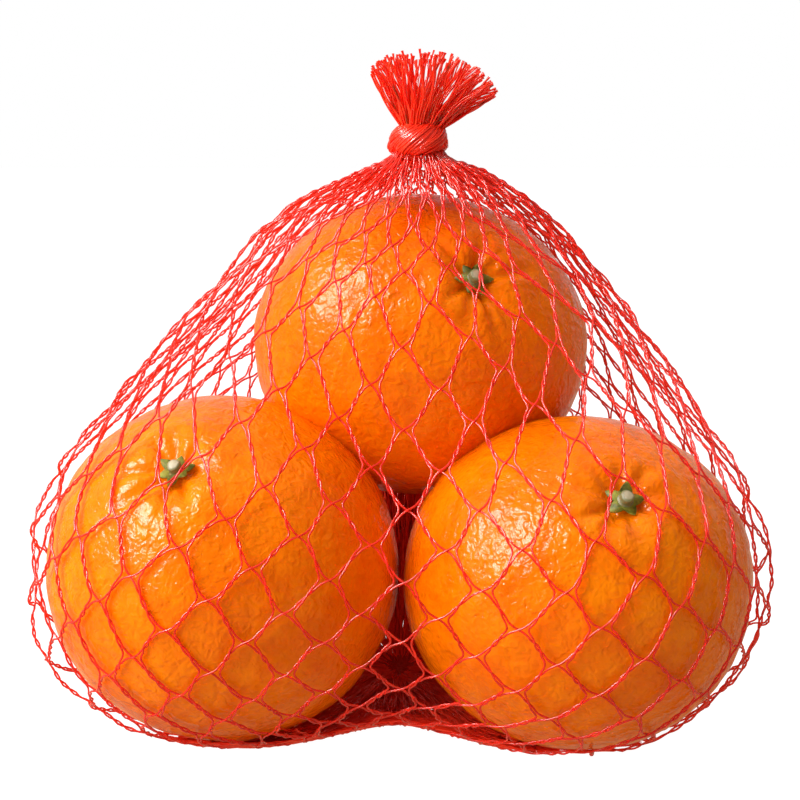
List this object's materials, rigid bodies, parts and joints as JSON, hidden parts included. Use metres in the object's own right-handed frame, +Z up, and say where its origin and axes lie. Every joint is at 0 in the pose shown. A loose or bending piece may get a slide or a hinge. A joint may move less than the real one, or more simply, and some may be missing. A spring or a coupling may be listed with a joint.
{
  "type": "net bag of mandarins",
  "caption": "Knitted net bag drawn over mandarins and closed at the top by a knot and a fanned tassel; it stands on the fruit inside.",
  "frame": {"origin": "middle of the bag's outline box, on the table it stands on", "axes": "+X to the viewer's right along the pair of lower fruit, +Y away from the viewer, +Z up to the knot"},
  "size_m": [0.1403, 0.0836, 0.1301],
  "materials": {
    "net": "knitted polyethylene filament, satin gloss",
    "peel": "waxy, pitted citrus peel",
    "calyx": "dry leaf, matte"
  },
  "bodies": {
    "root": {"net_bag": "net"}
  },
  "joints": []
}
